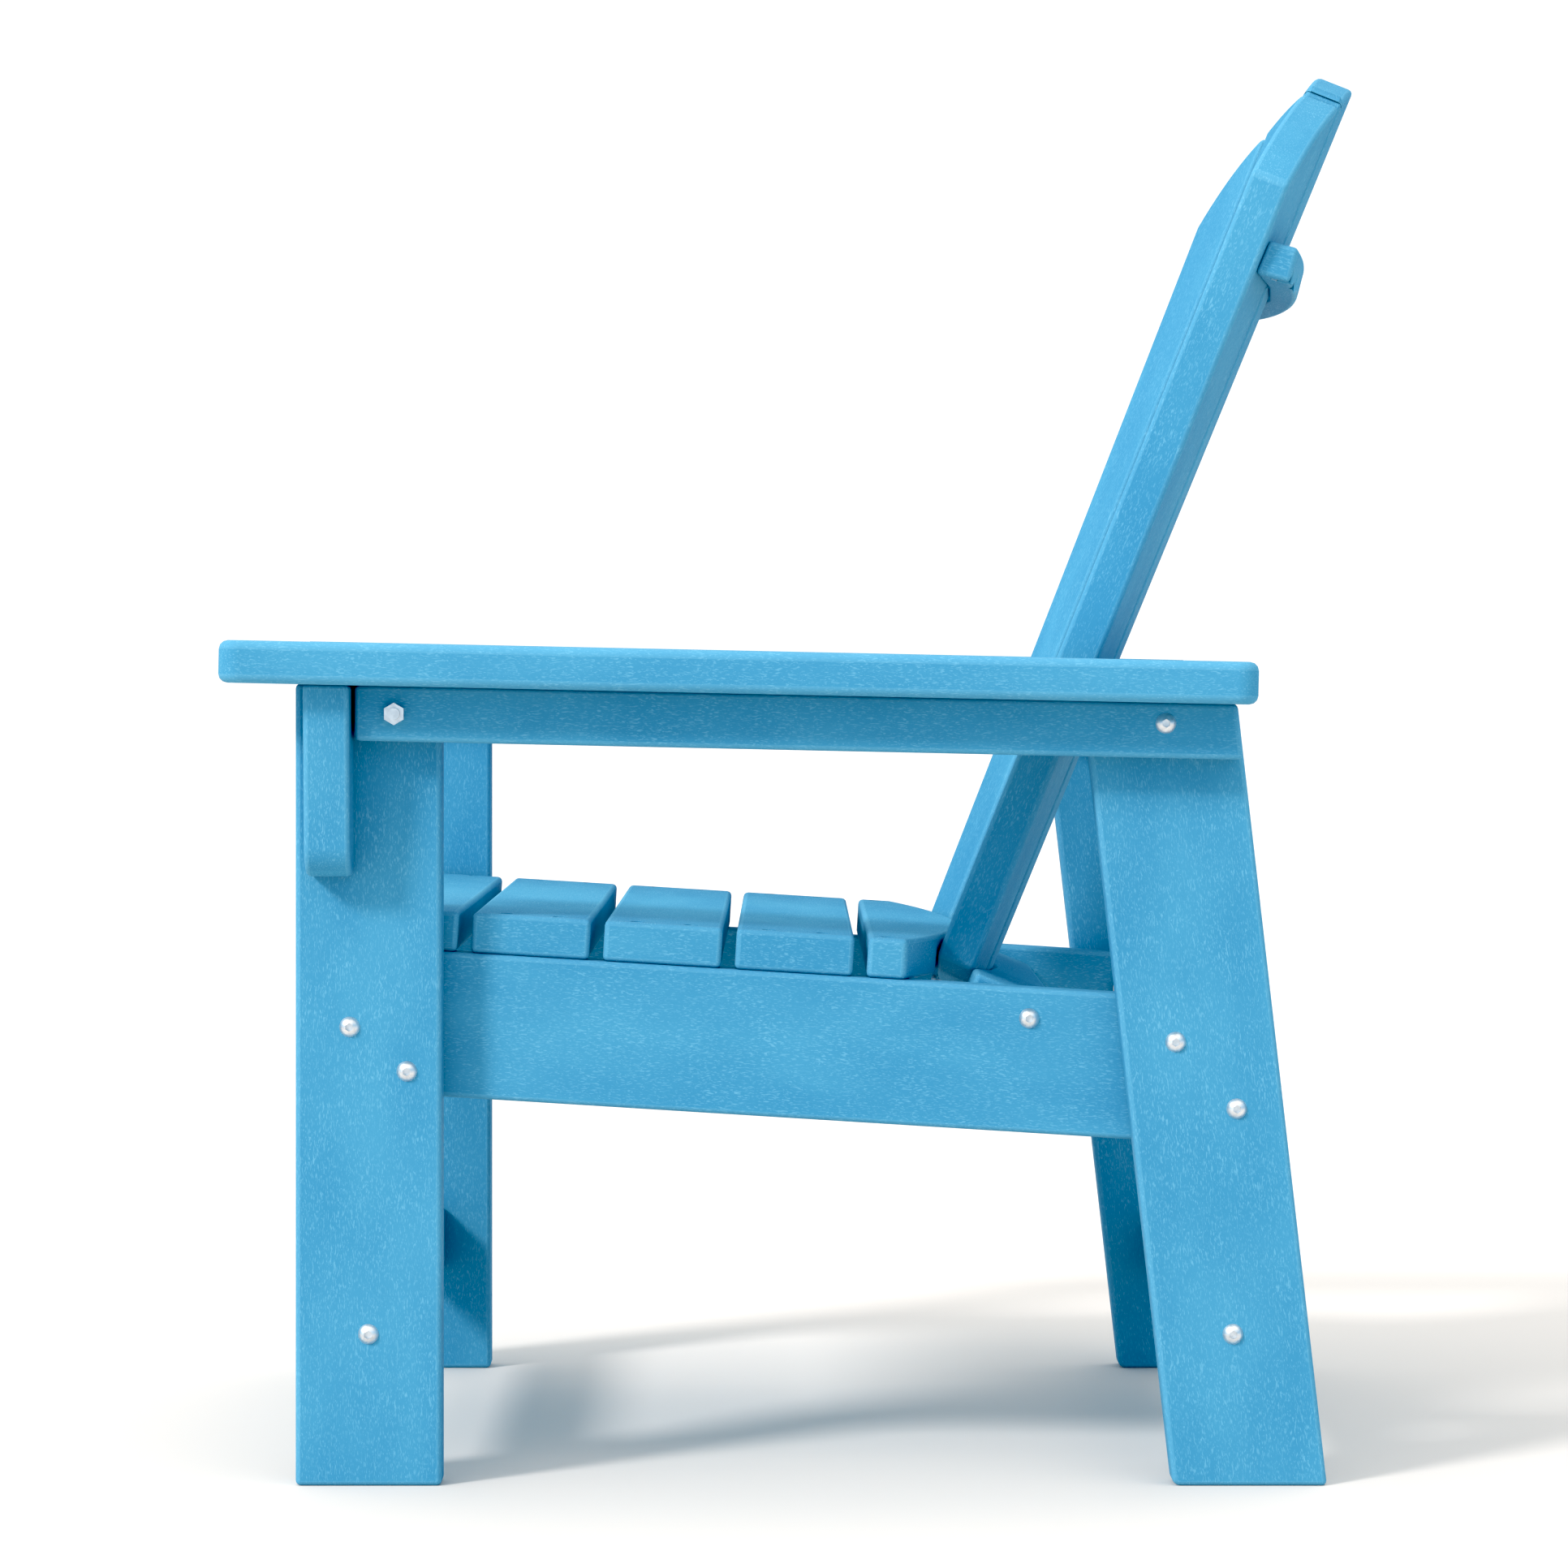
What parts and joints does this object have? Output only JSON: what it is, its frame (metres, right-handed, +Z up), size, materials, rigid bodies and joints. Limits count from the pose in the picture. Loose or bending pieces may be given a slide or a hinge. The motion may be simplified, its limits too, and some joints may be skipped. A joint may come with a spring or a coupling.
{
  "type": "adirondack chair",
  "caption": "Outdoor armchair of plastic lumber boards: a fanned, reclined slat back with an arched top, a slatted seat, wide flat arms and board legs, bolted together.",
  "frame": {"origin": "on the floor, under the middle of the chair's overall width and depth", "axes": "+Z up, +X towards the sitter's left hand, -Y towards the front, the way the sitter faces"},
  "size_m": [0.71, 0.7922, 0.9855],
  "materials": {
    "poly_lumber": "satin solid-coloured plastic lumber with fine paler flecks along each board",
    "steel_fasteners": "plain stainless steel, smooth"
  },
  "bodies": {
    "root": {"front_leg_l": "poly_lumber", "front_leg_r": "poly_lumber", "rear_leg_l": "poly_lumber", "rear_leg_r": "poly_lumber", "seat_rail_l": "poly_lumber", "seat_rail_r": "poly_lumber", "arm_l": "poly_lumber", "arm_r": "poly_lumber", "arm_rail_l": "poly_lumber", "arm_rail_r": "poly_lumber", "arm_bracket_l": "poly_lumber", "arm_bracket_r": "poly_lumber", "seat_slat_1": "poly_lumber", "seat_slat_2": "poly_lumber", "seat_slat_3": "poly_lumber", "seat_slat_4": "poly_lumber", "seat_slat_5": "poly_lumber", "back_slat_1": "poly_lumber", "back_slat_2": "poly_lumber", "back_slat_3": "poly_lumber", "back_slat_4": "poly_lumber", "back_slat_5": "poly_lumber", "upper_back_rail": "poly_lumber", "mid_back_rail": "poly_lumber", "lower_back_rail": "poly_lumber", "front_stretcher": "poly_lumber", "rear_stretcher": "poly_lumber", "leg_bolts": "steel_fasteners", "leg_nuts": "steel_fasteners", "leg_washers": "steel_fasteners", "rail_end_bolts": "steel_fasteners", "arm_rear_bolts": "steel_fasteners", "barrel_nuts": "steel_fasteners", "arm_front_bolts": "steel_fasteners", "arm_front_nuts": "steel_fasteners", "seat_screws": "steel_fasteners", "lower_rail_screws": "steel_fasteners", "mid_rail_screws": "steel_fasteners", "upper_rail_screws": "steel_fasteners", "arm_screws": "steel_fasteners", "bracket_screws": "steel_fasteners"}
  },
  "joints": []
}
